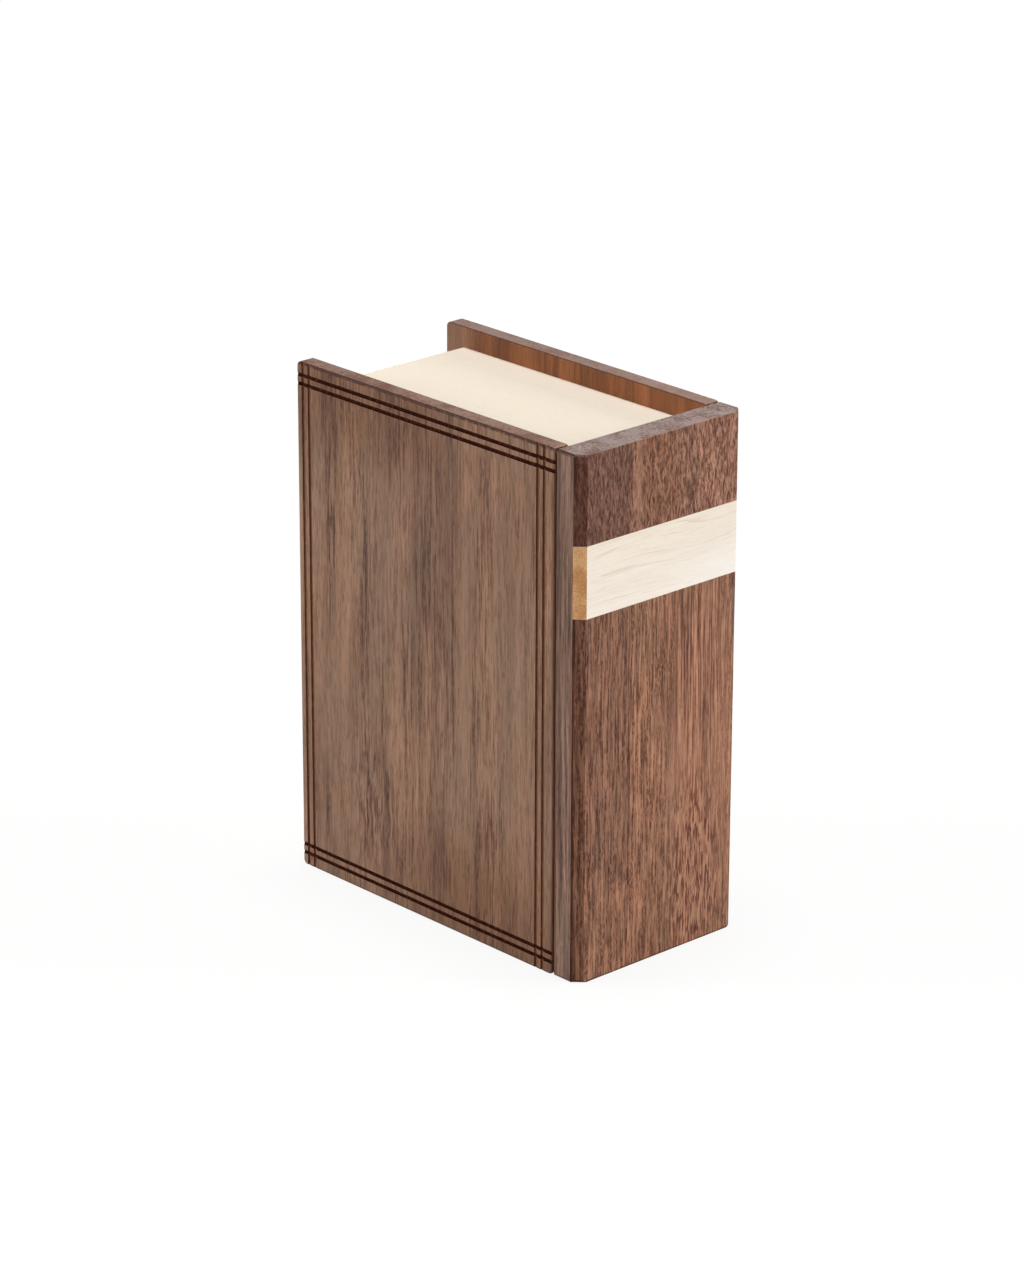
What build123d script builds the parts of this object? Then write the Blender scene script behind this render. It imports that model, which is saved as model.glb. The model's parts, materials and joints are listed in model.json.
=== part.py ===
from build123d import *

import os
from math import radians, tan

# Book-shaped puzzle box in walnut and maple, in millimetres. +Z is up and the origin is the
# centre of the base. The spine faces +X, the fore edge -X, the front cover -Y and the back
# cover +Y.

# Covers and spine
height = 160.0
cover_width = 110.5
cover_thickness = 5.5
cover_corner = 1.5
arris = 0.5
inner_arris = 0.3
spine_corner = 1.0
core_thickness = 7.2
face_thickness = 2.8
band_height = 21.6
band_drop = 26.8

# Scored lines on the covers
groove_width = 1.1
groove_depth = 0.4
groove_spacing = 2.7
groove_inset_end = 4.0
groove_inset_fore = 2.6
groove_inset_spine = 4.4

# Page block
block_thickness = 53.5
head_recess = 6.5
fore_recess = 7.0
head_thickness = 10.0
fore_thickness = 8.0
wall_thickness = 12.0
wall_housing = 3.0
floor_thickness = 3.0
floor_rebate = 3.0
page_corner = 1.0

# Lid panel behind the front cover
lip_thickness = 3.2
tongue_thickness = 3.0
tongue_depth = 4.0
track_stop = 8.2

# Spine slide
spine_travel = 30.0
key_neck = 14.0
key_depth = 5.0
key_lead = 4.0
key_drop = 16.0
dovetail_angle = 14.0

# Lock bolt
bolt_length = 34.0
bolt_depth = 8.0
bolt_neck = 6.6
bolt_rise = 6.5
bolt_travel = 5.0
tenon_thickness = 4.0
tenon_height = 6.0
tenon_length = 6.0
notch_length = 9.0
notch_height = 3.4
notch_depth = 1.6

# Pins, dowels, screws and magnets
stop_pin_diameter = 4.0
stop_pin_reach = 3.0
stop_pin_rise = 45.0
stop_pin_offset = 6.0
bolt_pin_diameter = 2.5
bolt_pin_reach = 2.0
lid_pin_diameter = 2.0
lid_pin_length = 7.0
lid_pin_reach = 2.5
lid_pin_inset = 6.0
pin_ease = 0.4
dowel_diameter = 4.0
dowel_length = 20.0
dowel_bite = 7.0
dowel_spacing = 24.0
dowel_ease = 0.4
screw_diameter = 3.0
screw_head = 5.8
screw_length = 14.0
screw_slot = 0.7
countersink_angle = 90.0
screw_inset = 14.0
screw_count = 3
magnet_diameter = 6.0
magnet_thickness = 2.5
magnet_drop = 8.0
magnet_spacing = 26.0
magnet_inset = 24.0

# Clearances
slide_gap = 0.2
running_gap = 0.15
seat_gap = 0.05
stop_gap = 0.3

# Planes across X
spine_back_to_front = core_thickness + face_thickness
total_width = cover_width + slide_gap + spine_back_to_front
cover_fore = -total_width / 2
cover_end = cover_fore + cover_width
cover_centre = (cover_fore + cover_end) / 2
spine_back = cover_end + slide_gap
face_back = spine_back + core_thickness
spine_front = face_back + face_thickness
block_fore = cover_fore + fore_recess
fore_inner = block_fore + fore_thickness
fore_centre = block_fore + fore_thickness / 2
wall_inner = cover_end - wall_thickness

# Planes across Y
total_depth = block_thickness + 2 * cover_thickness
cover_outer = total_depth / 2
block_back = block_thickness / 2
cover_inner = -block_back
block_front = cover_inner + slide_gap
tongue_front = cover_inner + lip_thickness
lid_inner = tongue_front + tongue_thickness
wall_front = lid_inner + slide_gap
floor_front = block_back - floor_thickness

# Planes across Z
head_top = height - head_recess
head_bottom = head_top - head_thickness
tail_top = head_recess + head_thickness
tongue_top = head_bottom + tongue_depth
wall_top = head_bottom + wall_housing
wall_bottom = tail_top - wall_housing
key_bottom = spine_travel + key_lead
key_top = wall_top - key_drop
band_top = height - band_drop
band_bottom = band_top - band_height
middle = Plane.XY.offset(height / 2)

# Places of the lock bolt and of the small hardware
bolt_z = tail_top + bolt_rise
bolt_face = cover_end - slide_gap / 2
bolt_inner = bolt_face - bolt_depth
bolt_tip = wall_front + stop_gap
bolt_back = bolt_tip + bolt_length
bolt_shoulder = bolt_tip + tenon_length
bolt_pin_y = bolt_shoulder + bolt_pin_diameter
key_face = cover_end + key_depth
key_half = key_neck / 2 + key_depth * tan(radians(dovetail_angle))
stop_pin_y = key_half + stop_pin_offset
stop_pin_z = spine_travel + stop_pin_rise
lid_pin_x = cover_end - lid_pin_inset
lid_pin_y = (tongue_front + lid_inner) / 2
track_half = lid_pin_diameter / 2 + running_gap
track_end = block_fore + track_stop + track_half
cover_travel = lid_pin_x - track_end - stop_gap + running_gap
dowel_y = (wall_front + floor_front) / 2
screw_spacing = (key_top - key_bottom - 2 * screw_inset) / (screw_count - 1)
screw_heights = [key_bottom + screw_inset + n * screw_spacing for n in range(screw_count)]
spine_magnet_z = wall_top - magnet_drop
lid_magnet_heights = [tail_top + magnet_inset, head_bottom - magnet_inset]


def span(first, second, mode=Mode.ADD):
    """Rectangle in a sketch, between its limits in the first and the second direction."""
    with Locations(((first[0] + first[1]) / 2, (second[0] + second[1]) / 2)):
        Rectangle(first[1] - first[0], second[1] - second[0], mode=mode)


def dovetail(face, reach, centre, neck, gap=0.0):
    """Dovetail section in a sketch: neck wide at face, spreading over reach, grown by gap."""
    far = face + reach + (gap if reach > 0 else -gap)
    near_half = neck / 2 + gap
    far_half = near_half + abs(far - face) * tan(radians(dovetail_angle))
    corners = [
        (face, centre - near_half),
        (far, centre - far_half),
        (far, centre + far_half),
        (face, centre + near_half),
    ]
    Polygon(*corners, align=None)


def magnet_circles(places, gap=0.0):
    """Round magnet outlines in a sketch at the given places."""
    with Locations(*places):
        Circle(magnet_diameter / 2 + gap)


def spine_facing(low, high):
    """Facing between two heights, with its two upright corners chamfered away."""
    with BuildPart() as facing:
        with BuildSketch(Plane.XY.offset(low)):
            corners = [
                (face_back, -cover_outer),
                (spine_front, -cover_outer + face_thickness),
                (spine_front, cover_outer - face_thickness),
                (face_back, cover_outer),
            ]
            Polygon(*corners, align=None)
        extrude(amount=high - low)
    return facing


# Front cover: a board with two shallow scored lines along every edge, cut right to its edges
with BuildPart() as front_cover:
    with BuildSketch(Plane.XZ.offset(cover_outer)):
        with Locations((cover_centre, height / 2)):
            RectangleRounded(cover_width, height, cover_corner)
    extrude(amount=-cover_thickness)
    chamfer(front_cover.faces().sort_by(Axis.Y)[0].edges(), arris)
    chamfer(front_cover.faces().sort_by(Axis.Y)[-1].edges(), inner_arris)
    with BuildSketch(Plane.XZ.offset(cover_outer)):
        for step in (0.0, groove_spacing):
            for z in (groove_inset_end + step, height - groove_inset_end - step):
                with Locations((cover_centre, z)):
                    Rectangle(cover_width, groove_width)
            for x in (cover_fore + groove_inset_fore + step, cover_end - groove_inset_spine - step):
                with Locations((x, height / 2)):
                    Rectangle(groove_width, height)
    extrude(amount=-groove_depth, mode=Mode.SUBTRACT)

with BuildPart() as back_cover:
    mirror(front_cover.part, about=Plane.XZ)

# Page head: grooved for the lid's tongue, rebated for the floor and for the inner spine wall
dowel_places = [(fore_centre, dowel_y + side * dowel_spacing / 2) for side in (-1, 1)]
with BuildPart() as page_head:
    with BuildSketch(Plane.YZ.offset(block_fore)):
        span((block_front, block_back), (head_bottom, head_top))
        groove = (tongue_front - running_gap, lid_inner + running_gap)
        span(groove, (head_bottom, tongue_top + slide_gap), Mode.SUBTRACT)
        span((floor_front, block_back), (head_bottom, head_bottom + floor_rebate), Mode.SUBTRACT)
    extrude(amount=cover_end - block_fore)
    with BuildSketch(Plane.XY.offset(head_bottom)):
        span((wall_inner, cover_end), (wall_front, block_back))
    extrude(amount=wall_housing, mode=Mode.SUBTRACT)
    # The track of the lid's stop pin is open at the spine end and blind at the fore edge
    with BuildSketch(Plane.XY.offset(tongue_top)):
        span((track_end, cover_end), (lid_pin_y - track_half, lid_pin_y + track_half))
        with Locations((track_end, lid_pin_y)):
            Circle(track_half)
    extrude(amount=lid_pin_reach + slide_gap, mode=Mode.SUBTRACT)
    with BuildSketch(Plane.XY.offset(head_bottom)):
        with Locations(*dowel_places):
            Circle(dowel_diameter / 2 + seat_gap)
    extrude(amount=dowel_bite + seat_gap, mode=Mode.SUBTRACT)
    fore_edges = page_head.edges().filter_by(Axis.Y).group_by(Axis.X)[0]
    fillet(fore_edges.sort_by(Axis.Z)[-1], page_corner)

with BuildPart() as page_tail:
    mirror(page_head.part, about=middle)

# Fore edge board, with a rebate for the floor, dowel holes in its ends and two magnets
with BuildPart() as fore_edge_board:
    with BuildSketch(Plane.XY.offset(tail_top)):
        span((block_fore, fore_inner), (wall_front, block_back))
        span((fore_inner - floor_rebate, fore_inner), (floor_front, block_back), Mode.SUBTRACT)
    extrude(amount=head_bottom - tail_top)
    for plane, inward in ((Plane.XY.offset(tail_top), 1), (Plane.XY.offset(head_bottom), -1)):
        with BuildSketch(plane):
            with Locations(*dowel_places):
                Circle(dowel_diameter / 2 + seat_gap)
        extrude(amount=inward * (dowel_length - dowel_bite + seat_gap), mode=Mode.SUBTRACT)
    with BuildSketch(Plane.XZ.offset(-wall_front)):
        magnet_circles([(fore_centre, z) for z in lid_magnet_heights], seat_gap)
    extrude(amount=-magnet_thickness - seat_gap, mode=Mode.SUBTRACT)

# Inner spine wall: housed in the head and tail, with the bolt's dovetail channel across it
spine_magnet_places = [(side * magnet_spacing / 2, spine_magnet_z) for side in (-1, 1)]
with BuildPart() as inner_spine_wall:
    with BuildSketch(Plane.XY.offset(wall_bottom)):
        span((wall_inner, cover_end), (wall_front, block_back))
        span((wall_inner, wall_inner + floor_rebate), (floor_front, block_back), Mode.SUBTRACT)
    extrude(amount=wall_top - wall_bottom)
    with BuildSketch(Plane.XZ.offset(-wall_front)):
        dovetail(bolt_face, -bolt_depth, bolt_z, bolt_neck, running_gap)
        mouth_half = bolt_neck / 2 + running_gap
        span((bolt_face, cover_end), (bolt_z - mouth_half, bolt_z + mouth_half))
    extrude(amount=-(bolt_back + stop_gap - wall_front), mode=Mode.SUBTRACT)
    with BuildSketch(Plane.YZ.offset(cover_end)):
        magnet_circles(spine_magnet_places, seat_gap)
    extrude(amount=-magnet_thickness - seat_gap, mode=Mode.SUBTRACT)
    with BuildSketch(Plane.YZ.offset(cover_end)):
        with Locations(*[(0, z) for z in screw_heights]):
            Circle(screw_diameter / 2 + seat_gap)
    extrude(amount=-(screw_length - key_depth + seat_gap), mode=Mode.SUBTRACT)
    with BuildSketch(Plane.YZ.offset(wall_inner)):
        with Locations((stop_pin_y, stop_pin_z)):
            Circle(stop_pin_diameter / 2 + seat_gap)
        with Locations((bolt_pin_y, bolt_z)):
            Circle(bolt_pin_diameter / 2 + seat_gap)
    extrude(amount=wall_thickness, mode=Mode.SUBTRACT)

# Floor panel, held in the rebates against the back cover
with BuildPart() as floor_panel:
    with BuildSketch(Plane.XZ.offset(-block_back)):
        across = (fore_inner - floor_rebate + slide_gap, wall_inner + floor_rebate - slide_gap)
        up = (tail_top - floor_rebate + slide_gap, head_bottom + floor_rebate - slide_gap)
        span(across, up)
    extrude(amount=floor_thickness)

# Blind dowels of the fore edge board, with eased ends
with BuildPart() as corner_dowels:
    for low in (tail_top - dowel_bite, head_bottom + dowel_bite - dowel_length):
        with BuildSketch(Plane.XY.offset(low)):
            with Locations(*dowel_places):
                Circle(dowel_diameter / 2)
        extrude(amount=dowel_length)
    chamfer(corner_dowels.edges().filter_by(GeomType.CIRCLE), dowel_ease)

# Dovetail key that the spine slides on, with its countersunk holes
with BuildPart() as spine_key:
    with BuildSketch(Plane.XY.offset(key_bottom)):
        dovetail(cover_end, key_depth, 0.0, key_neck)
    extrude(amount=key_top - key_bottom)
    with Locations(Plane.YZ.offset(key_face)):
        with Locations(*[(0, z) for z in screw_heights]):
            CounterSinkHole(
                radius=screw_diameter / 2 + seat_gap,
                counter_sink_radius=screw_head / 2 + seat_gap,
                depth=key_depth,
                counter_sink_angle=countersink_angle,
            )

# One countersunk slotted screw along +X, its head's face at x = 0
with BuildPart() as screw:
    with BuildSketch(Plane.XZ):
        head_depth = (screw_head - screw_diameter) / 2 / tan(radians(countersink_angle / 2))
        outline = [
            (0.0, 0.0),
            (0.0, screw_head / 2),
            (-head_depth, screw_diameter / 2),
            (screw_diameter / 2 - screw_length, screw_diameter / 2),
            (-screw_length, 0.0),
        ]
        Polygon(*outline, align=None)
    revolve(axis=Axis.X)
    with BuildSketch(Plane.YZ):
        Rectangle(screw_head, screw_slot)
    extrude(amount=-screw_slot, mode=Mode.SUBTRACT)

with BuildPart() as spine_key_screws:
    with Locations(*[(key_face - seat_gap, 0, z) for z in screw_heights]):
        add(screw.part)

# Stop pins of the spine and of the bolt, driven from inside the compartment
with BuildPart() as spine_stop_pin:
    with BuildSketch(Plane.YZ.offset(wall_inner)):
        with Locations((stop_pin_y, stop_pin_z)):
            Circle(stop_pin_diameter / 2)
    extrude(amount=wall_thickness + stop_pin_reach)
    chamfer(spine_stop_pin.faces().sort_by(Axis.X)[-1].edges(), pin_ease)

with BuildPart() as bolt_stop_pin:
    with BuildSketch(Plane.YZ.offset(wall_inner)):
        with Locations((bolt_pin_y, bolt_z)):
            Circle(bolt_pin_diameter / 2)
    extrude(amount=bolt_inner + bolt_pin_reach - wall_inner)
    chamfer(bolt_stop_pin.faces().sort_by(Axis.X)[-1].edges(), pin_ease)

# Disc magnets: two pairs hold the spine down and two pairs hold the cover shut
with BuildPart() as carcass_magnets:
    with BuildSketch(Plane.YZ.offset(cover_end)):
        magnet_circles(spine_magnet_places)
    extrude(amount=-magnet_thickness)
    with BuildSketch(Plane.XZ.offset(-wall_front)):
        magnet_circles([(fore_centre, z) for z in lid_magnet_heights])
    extrude(amount=-magnet_thickness)

with BuildPart() as spine_magnets:
    with BuildSketch(Plane.YZ.offset(spine_back)):
        magnet_circles(spine_magnet_places)
    extrude(amount=magnet_thickness)

with BuildPart() as cover_magnets:
    with BuildSketch(Plane.XZ.offset(-lid_inner)):
        magnet_circles([(fore_centre, z) for z in lid_magnet_heights])
    extrude(amount=magnet_thickness)

# Spine core: a stopped dovetail groove rides on the key, and the stop pin runs in a blind slot
with BuildPart() as spine_core:
    with BuildSketch(Plane.XY):
        span((spine_back, face_back), (-cover_outer, cover_outer))
    extrude(amount=height)
    fillet(spine_core.edges().filter_by(Axis.X), spine_corner)
    chamfer(spine_core.edges().filter_by(Axis.Z).group_by(Axis.X)[0], arris)
    with BuildSketch(Plane.XY):
        dovetail(cover_end, key_depth, 0.0, key_neck, running_gap)
    extrude(amount=key_top, mode=Mode.SUBTRACT)
    with BuildSketch(Plane.YZ.offset(spine_back)):
        with Locations((stop_pin_y, stop_pin_z - spine_travel / 2)):
            slot_length = spine_travel + 2 * stop_gap
            SlotCenterToCenter(slot_length, stop_pin_diameter + 2 * running_gap, rotation=90)
    extrude(amount=stop_pin_reach + stop_gap - slide_gap, mode=Mode.SUBTRACT)
    with BuildSketch(Plane.YZ.offset(spine_back)):
        magnet_circles(spine_magnet_places, seat_gap)
    extrude(amount=magnet_thickness + seat_gap, mode=Mode.SUBTRACT)

# Spine facings: walnut, maple label band, walnut
spine_face_lower = spine_facing(0.0, band_bottom)
label_band = spine_facing(band_bottom, band_top)
spine_face_upper = spine_facing(band_top, height)
for facing, free_end in ((spine_face_upper, -1), (spine_face_lower, 0)):
    with facing:
        fillet(facing.faces().sort_by(Axis.Z)[free_end].edges().sort_by(Axis.X)[1:3], spine_corner)
        chamfer(facing.faces().sort_by(Axis.Z)[free_end].edges().sort_by(Axis.X)[-1], arris)

# Lid panel glued inside the front cover, with tongues, a mortise for the bolt and two magnets
with BuildPart() as lid_panel:
    with BuildSketch(Plane.YZ.offset(block_fore)):
        span((cover_inner, tongue_front), (tail_top + slide_gap, head_bottom - slide_gap))
        span((tongue_front, lid_inner), (tail_top - tongue_depth, tongue_top))
    extrude(amount=cover_end - block_fore)
    with BuildSketch(Plane.XZ.offset(-lid_inner)):
        side = (bolt_inner - stop_gap, bolt_inner + tenon_thickness + stop_gap)
        half = tenon_height / 2 + stop_gap
        span(side, (bolt_z - half, bolt_z + half))
    extrude(amount=bolt_travel, mode=Mode.SUBTRACT)
    with BuildSketch(Plane.XZ.offset(-lid_inner)):
        magnet_circles([(fore_centre, z) for z in lid_magnet_heights], seat_gap)
    extrude(amount=magnet_thickness + seat_gap, mode=Mode.SUBTRACT)
    for low in (tail_top - tongue_depth, tongue_top + lid_pin_reach - lid_pin_length):
        with BuildSketch(Plane.XY.offset(low)):
            with Locations((lid_pin_x, lid_pin_y)):
                Circle(lid_pin_diameter / 2 + seat_gap)
        extrude(amount=lid_pin_length - lid_pin_reach, mode=Mode.SUBTRACT)

with BuildPart() as lid_stop_pins:
    for low in (tail_top - tongue_depth - lid_pin_reach, tongue_top + lid_pin_reach - lid_pin_length):
        with BuildSketch(Plane.XY.offset(low)):
            with Locations((lid_pin_x, lid_pin_y)):
                Circle(lid_pin_diameter / 2)
        extrude(amount=lid_pin_length)

# Lock bolt: drawn back here. Slid towards the front cover, its tenon enters the lid's mortise.
with BuildPart() as lock_bolt:
    with BuildSketch(Plane.XZ.offset(-bolt_back)):
        dovetail(bolt_face, -bolt_depth, bolt_z, bolt_neck)
    extrude(amount=bolt_length)
    with BuildSketch(Plane.XZ.offset(-bolt_tip)):
        span((bolt_inner - bolt_depth, cover_end), (bolt_z - bolt_depth, bolt_z + bolt_depth))
        tenon = (bolt_z - tenon_height / 2, bolt_z + tenon_height / 2)
        span((bolt_inner, bolt_inner + tenon_thickness), tenon, Mode.SUBTRACT)
    extrude(amount=-tenon_length, mode=Mode.SUBTRACT)
    with BuildSketch(Plane.YZ.offset(bolt_inner)):
        with Locations((bolt_pin_y + bolt_travel / 2, bolt_z)):
            SlotCenterToCenter(bolt_travel + 2 * stop_gap, bolt_pin_diameter + 2 * running_gap)
    extrude(amount=bolt_pin_reach + stop_gap, mode=Mode.SUBTRACT)
    with BuildSketch(Plane.YZ.offset(bolt_face)):
        with Locations((bolt_back - notch_length, bolt_z)):
            SlotOverall(notch_length, notch_height)
    extrude(amount=-notch_depth, mode=Mode.SUBTRACT)

pieces = {
    "back_cover": back_cover,
    "page_head": page_head,
    "page_tail": page_tail,
    "fore_edge_board": fore_edge_board,
    "inner_spine_wall": inner_spine_wall,
    "floor_panel": floor_panel,
    "corner_dowels": corner_dowels,
    "spine_key": spine_key,
    "spine_key_screws": spine_key_screws,
    "spine_stop_pin": spine_stop_pin,
    "bolt_stop_pin": bolt_stop_pin,
    "carcass_magnets": carcass_magnets,
    "spine_core": spine_core,
    "spine_face_upper": spine_face_upper,
    "label_band": label_band,
    "spine_face_lower": spine_face_lower,
    "spine_magnets": spine_magnets,
    "front_cover": front_cover,
    "lid_panel": lid_panel,
    "cover_magnets": cover_magnets,
    "lid_stop_pins": lid_stop_pins,
    "lock_bolt": lock_bolt,
}

os.makedirs("parts", exist_ok=True)
for name, piece in pieces.items():
    piece.part.label = name
    export_step(piece.part, f"parts/{name}.step")
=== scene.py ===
"""Looks of the book-shaped puzzle box: walnut boards, a maple page block and its hidden works."""

import json
import logging
import math
from dataclasses import dataclass
from enum import Enum
from typing import Callable

import bmesh
import bpy
from mathutils import Matrix, Quaternion, Vector


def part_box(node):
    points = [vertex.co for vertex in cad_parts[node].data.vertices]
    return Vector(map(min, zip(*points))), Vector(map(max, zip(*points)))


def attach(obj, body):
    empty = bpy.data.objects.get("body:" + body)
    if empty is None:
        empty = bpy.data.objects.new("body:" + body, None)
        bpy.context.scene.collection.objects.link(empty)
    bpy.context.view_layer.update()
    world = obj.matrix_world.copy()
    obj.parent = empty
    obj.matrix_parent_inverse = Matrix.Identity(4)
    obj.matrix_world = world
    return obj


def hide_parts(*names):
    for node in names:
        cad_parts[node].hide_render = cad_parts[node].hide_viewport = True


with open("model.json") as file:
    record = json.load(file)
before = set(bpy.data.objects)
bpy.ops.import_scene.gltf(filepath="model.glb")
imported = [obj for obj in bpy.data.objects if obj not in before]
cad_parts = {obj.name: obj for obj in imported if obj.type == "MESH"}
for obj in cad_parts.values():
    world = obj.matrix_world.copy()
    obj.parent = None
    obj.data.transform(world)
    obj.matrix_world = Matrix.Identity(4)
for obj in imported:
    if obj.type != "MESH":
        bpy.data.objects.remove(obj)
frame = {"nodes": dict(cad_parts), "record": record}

LOG = logging.getLogger("puzzle_box")
MM = 0.001
FLAT_ANGLE = math.radians(1.0)
SHARP_ANGLE = math.radians(25.0)
HARD_ANGLE = math.radians(50.0)
NEAR = 1e-5
WHITE = (1.0, 1.0, 1.0, 1.0)
OIL_INDEX = 1.5
LUMP = 0.6

# How far a face's normal or an edge goes along an axis.
SLIGHTLY, PARTLY, HALFWAY, CLEARLY, MOSTLY, FULLY = 0.15, 0.2, 0.6, 0.75, 0.9, 0.99

Colour = tuple[float, float, float, float]
Tone = tuple[int, int, int]
Stops = tuple[tuple[float, Tone], ...]
Socket = bpy.types.NodeSocket
BMesh = bmesh.types.BMesh
Edge = bmesh.types.BMEdge
Face = bmesh.types.BMFace


def paint(tone: Tone) -> Colour:
    """Turn a display colour of 0 to 255 into the linear colour that a shader socket takes.

    Args:
        tone: Red, green and blue as they are seen on a screen.

    Returns:
        Linear red, green, blue and an alpha of one.
    """
    linear = []
    for value in tone:
        share = value / 255.0
        linear.append(share / 12.92 if share <= 0.04045 else ((share + 0.055) / 1.055) ** 2.4)
    return (*linear, 1.0)


class Grain(Enum):
    """The axis that a board's fibres run along, with the turn that brings it upright."""

    ALONG_X = (0.0, -math.pi / 2, 0.0)
    ALONG_Y = (math.pi / 2, 0.0, 0.0)
    ALONG_Z = (0.0, 0.0, 0.0)

    @property
    def axis(self) -> int:
        """Index of the fibre axis among X, Y and Z."""
        return list(Grain).index(self)


class NodeSheet:
    """The node tree of a material or a world, with short calls for its nodes."""

    def __init__(self, owner: bpy.types.Material | bpy.types.World) -> None:
        """Empty the tree of a material or a world."""
        self.owner = owner
        owner.use_nodes = True
        owner.node_tree.nodes.clear()

    def put(self, target: Socket, value: object) -> None:
        """Join an output to a socket, or write a plain value on it."""
        if isinstance(value, Socket):
            self.owner.node_tree.links.new(value, target)
        else:
            target.default_value = value

    def add(
        self, kind: str, options: dict | None = None, *values: object, **inputs: object
    ) -> bpy.types.Node:
        """Add a node.

        Args:
            kind: The node's type name.
            options: Settings of the node itself, by attribute name.
            values: Values or outputs for its first sockets.
            inputs: The same by the sockets' names. An underscore stands for a space.

        Returns:
            The new node.
        """
        node = self.owner.node_tree.nodes.new(kind)
        for key, value in (options or {}).items():
            setattr(node, key, value)
        named = [(node.inputs[key.replace("_", " ")], value) for key, value in inputs.items()]
        for socket, value in (*zip(node.inputs, values), *named):
            self.put(socket, value)
        return node

    def math(self, operation: str, *values: object) -> Socket:
        """Combine numbers."""
        return self.add("ShaderNodeMath", {"operation": operation}, *values).outputs[0]

    def times(self, first: object, second: object) -> Socket:
        """Multiply two numbers."""
        return self.math("MULTIPLY", first, second)

    def vector(self, operation: str, *values: object) -> Socket:
        """Combine vectors, or measure one."""
        node = self.add("ShaderNodeVectorMath", {"operation": operation}, *values)
        return node.outputs["Value" if operation == "LENGTH" else "Vector"]

    def split(self, vector: Socket) -> bpy.types.NodeOutputs:
        """The X, Y and Z of a vector."""
        return self.add("ShaderNodeSeparateXYZ", None, vector).outputs

    def noise(
        self, place: Socket, scale: tuple[float, ...] = (1.0, 1.0, 1.0), detail: float = 2.0,
        rough: float = 0.5, output: str = "Fac",
    ) -> Socket:
        """Add a noise with that many lumps to a unit of place along each axis."""
        scaled = self.vector("MULTIPLY", place, scale)
        inputs = {"Scale": 1.0, "Detail": detail, "Roughness": rough}
        return self.add("ShaderNodeTexNoise", Vector=scaled, **inputs).outputs[output]

    def spread(
        self, value: Socket, low: float, high: float, to_low: float = 0.0, to_high: float = 1.0
    ) -> Socket:
        """Ease a number, which gives to_low up to low and to_high from high on."""
        node = self.add(
            "ShaderNodeMapRange", {"interpolation_type": "SMOOTHSTEP"},
            Value=value, From_Min=low, From_Max=high, To_Min=to_low, To_Max=to_high,
        )
        return node.outputs["Result"]

    def ramp(self, value: Socket, stops: Stops) -> Socket:
        """Read a colour off a row of stops.

        Args:
            value: Where on the row, from 0 to 1.
            stops: The place and tone of each stop.

        Returns:
            The colour.
        """
        node = self.add("ShaderNodeValToRGB", Fac=value)
        elements = node.color_ramp.elements
        while len(elements) < len(stops):
            elements.new(0.5)
        for element, (position, tone) in zip(elements, stops):
            element.position = position
            element.color = paint(tone)
        return node.outputs["Color"]

    def mix(self, share: Socket, below: object, above: object, blend: str = "MIX") -> Socket:
        """Blend two colours.

        Args:
            share: How much of the colour above shows.
            below: The colour below.
            above: The colour above.
            blend: The way they blend.

        Returns:
            The blended colour.
        """
        node = self.add("ShaderNodeMix", {"data_type": "RGBA", "blend_type": blend})
        given = {"Factor_Float": share, "A_Color": below, "B_Color": above}
        for socket in node.inputs:
            if socket.identifier in given:
                self.put(socket, given[socket.identifier])
        return next(s for s in node.outputs if s.identifier == "Result_Color")

    def seen(self) -> Socket:
        """One where the camera, a reflection or a clear thing looks, and nothing elsewhere."""
        path = self.add("ShaderNodeLightPath").outputs
        total = self.math("MAXIMUM", path["Is Camera Ray"], path["Is Glossy Ray"])
        return self.math("MAXIMUM", total, path["Is Transmission Ray"])

    def finish(self, **inputs: object) -> bpy.types.Material:
        """Close the tree with one surface shader, whose sockets are given as in add."""
        shader = self.add("ShaderNodeBsdfPrincipled", None, **inputs)
        self.add("ShaderNodeOutputMaterial", Surface=shader.outputs["BSDF"])
        return self.owner

    def close(self, kind: str, share: Socket, plain: bpy.types.Node, shown: bpy.types.Node) -> None:
        """Close the tree with an output of that kind and two shaders, the second by its share."""
        both = self.add("ShaderNodeMixShader", None, share, plain.outputs[0], shown.outputs[0])
        self.add(kind, Surface=both.outputs[0])


@dataclass(frozen=True)
class Marks:
    """Dark marks of one kind, all lying along the grain.

    Attributes:
        width: Mean width of a mark, in millimetres.
        length: Its mean length, in millimetres.
        low: Noise value at which a mark starts to show.
        high: Value at which it shows in full.
        share: How far a full mark darkens the wood, outside of a zone.
        gathered: How far the marks gather in places, from 0 to 1.
        broken: How far short breaks take the marks away, from 0 to 1.
        breaks: Mean length of a break, in millimetres.
    """

    width: float
    length: float
    low: float
    high: float
    share: float = 1.0
    gathered: float = 0.0
    broken: float = 0.0
    breaks: float = 1.6


@dataclass(frozen=True)
class Tint:
    """What a zone does to the wood.

    Attributes:
        tone: The colour that it brings.
        marks: The marks that make it up, or None where it is an even haze.
        blend: The way its colour joins the wood's.
        core: Part of its reach that it fills in full strength.
    """

    tone: Tone = (140, 106, 90)
    marks: Marks | None = None
    blend: str = "MULTIPLY"
    core: float = 0.3


@dataclass(frozen=True)
class Zone:
    """A part of a board whose wood looks different. Lengths are in millimetres.

    Attributes:
        centre: Its middle, from the object's origin.
        reach: Half its size along each axis.
        share: How far it changes the wood.
        tint: What it does there.
    """

    centre: tuple[float, float, float]
    reach: tuple[float, float, float]
    share: float
    tint: Tint


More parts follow.
